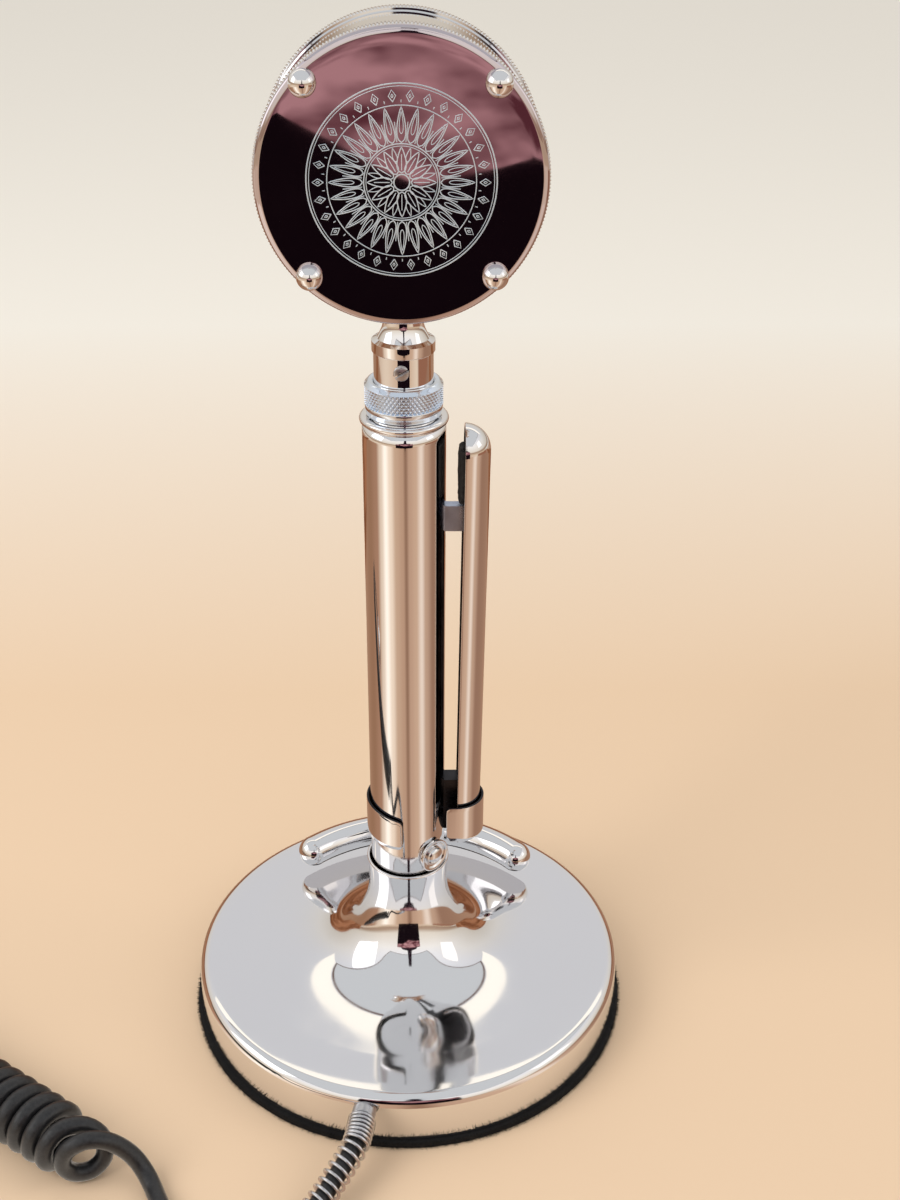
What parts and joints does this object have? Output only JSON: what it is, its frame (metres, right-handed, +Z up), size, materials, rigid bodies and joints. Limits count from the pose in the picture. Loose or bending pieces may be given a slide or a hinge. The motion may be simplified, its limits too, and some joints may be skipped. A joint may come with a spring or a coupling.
{
  "type": "crystal desk microphone",
  "caption": "Chrome desk microphone: round head on a column with a squeeze grip, a round felt-footed base with a curved press bar, and a curly cord.",
  "frame": {"origin": "centre of the felt ring's underside", "axes": "+Z up the column; -Y is the back of the head, towards the cable; +X is the side of the grip"},
  "size_m": [0.3989, 0.2051, 0.3416],
  "materials": {
    "chrome": "polished",
    "mirror_plate": "polished, engraved",
    "steel": "plain",
    "aluminium": "satin",
    "brass": "plain",
    "rubber": "matte",
    "cord": "satin",
    "phenolic": "satin",
    "felt": "felt",
    "cloth": "woven",
    "iron": "as cast",
    "dark_steel": "blackened",
    "crystal": "translucent salt"
  },
  "bodies": {
    "stand": {"neck_insert": "phenolic", "column_collar": "chrome", "socket_insert": "phenolic", "column_tube": "chrome", "column_cable": "cord", "stem_post": "steel", "rod_guide": "steel", "rod_spring": "steel", "side_screw": "chrome", "saddle_washer": "chrome", "grip_lug": "dark_steel", "grip_strap": "chrome", "base_cover": "chrome", "base_weight": "iron", "base_bridge": "steel", "bridge_screws": "steel", "bottom_plate": "steel", "bottom_screws": "steel", "felt_ring": "felt", "arm_pin": "steel", "arm_bracket": "steel", "press_spring": "steel", "switch_block": "phenolic", "switch_tags": "brass", "leaf_middle": "brass", "terminal_strip": "phenolic", "cable_clamp": "steel", "cable_ferrule": "steel", "strain_spring": "steel", "cord_lead": "cord", "cord_curls": "cord", "cord_tail": "cord", "plug_shell": "chrome", "plug_insert": "phenolic", "plug_clamp": "steel"},
    "head": {"head_case": "chrome", "rear_plate": "mirror_plate", "rear_screws": "chrome", "front_ring": "chrome", "front_grille": "chrome", "front_screws": "chrome", "grille_cloth": "cloth", "cartridge_can": "aluminium", "cartridge_diaphragm": "aluminium", "crystal_element": "crystal", "cartridge_gasket": "rubber", "head_leads": "cord", "head_neck": "chrome", "neck_screw": "steel"},
    "lock_ring": {"lock_ring": "chrome"},
    "grip": {"grip_bar": "chrome", "grip_bumper": "rubber", "grip_tab": "chrome", "grip_pin": "steel"},
    "rod": {"switch_rod": "steel"},
    "upper_leaf": {"leaf_upper": "brass"},
    "press": {"press_bar": "chrome", "press_arm": "steel"},
    "lower_leaf": {"leaf_lower": "brass"},
    "plug_nut": {"plug_ring": "chrome"}
  },
  "joints": [
    {"name": "head_swivel", "type": "hinge", "parent": "stand", "child": "head", "pos_m": [0, 0, 0.2353], "axis": [0, 0, 1], "range_deg": [-90, 90]},
    {"name": "lock_ring_turn", "type": "hinge", "parent": "stand", "child": "lock_ring", "pos_m": [0, 0, 0.2328], "axis": [0, 0, 1], "continuous": true},
    {"name": "grip_squeeze", "type": "hinge", "parent": "stand", "child": "grip", "pos_m": [0.02055, 0, 0.079], "axis": [0, -1, 0], "range_deg": [0, 1.5], "stiffness_Nm_per_rad": 12, "springref_deg": -1.72},
    {"name": "rod_slide", "type": "slide", "parent": "stand", "child": "rod", "axis": [0, 0, -1], "range_m": [0, 0.0017], "deforming": ["rod_spring"]},
    {"name": "upper_leaf_bend", "type": "hinge", "parent": "stand", "child": "upper_leaf", "pos_m": [0, -0.0123, 0.03415], "axis": [-1, 0, 0], "range_deg": [0, 6.3]},
    {"name": "press_tilt", "type": "hinge", "parent": "stand", "child": "press", "pos_m": [0, 0.015, 0.0287], "axis": [-1, 0, 0], "range_deg": [0, 4.5], "stiffness_Nm_per_rad": 2, "springref_deg": -6.88, "deforming": ["press_spring"]},
    {"name": "lower_leaf_bend", "type": "hinge", "parent": "stand", "child": "lower_leaf", "pos_m": [0, -0.0123, 0.03065], "axis": [1, 0, 0], "range_deg": [0, 4.8]},
    {"name": "plug_nut_turn", "type": "hinge", "parent": "stand", "child": "plug_nut", "pos_m": [-0.267, -0.0159, 0.0094], "axis": [0.8358, -0.549, 0], "continuous": true}
  ],
  "couplings": [
    {"joint": "rod_slide", "follows": "grip_squeeze", "m_per_rad": 0.06037},
    {"joint": "upper_leaf_bend", "follows": "grip_squeeze", "ratio": 4.11},
    {"joint": "lower_leaf_bend", "follows": "press_tilt", "ratio": 1.045}
  ]
}
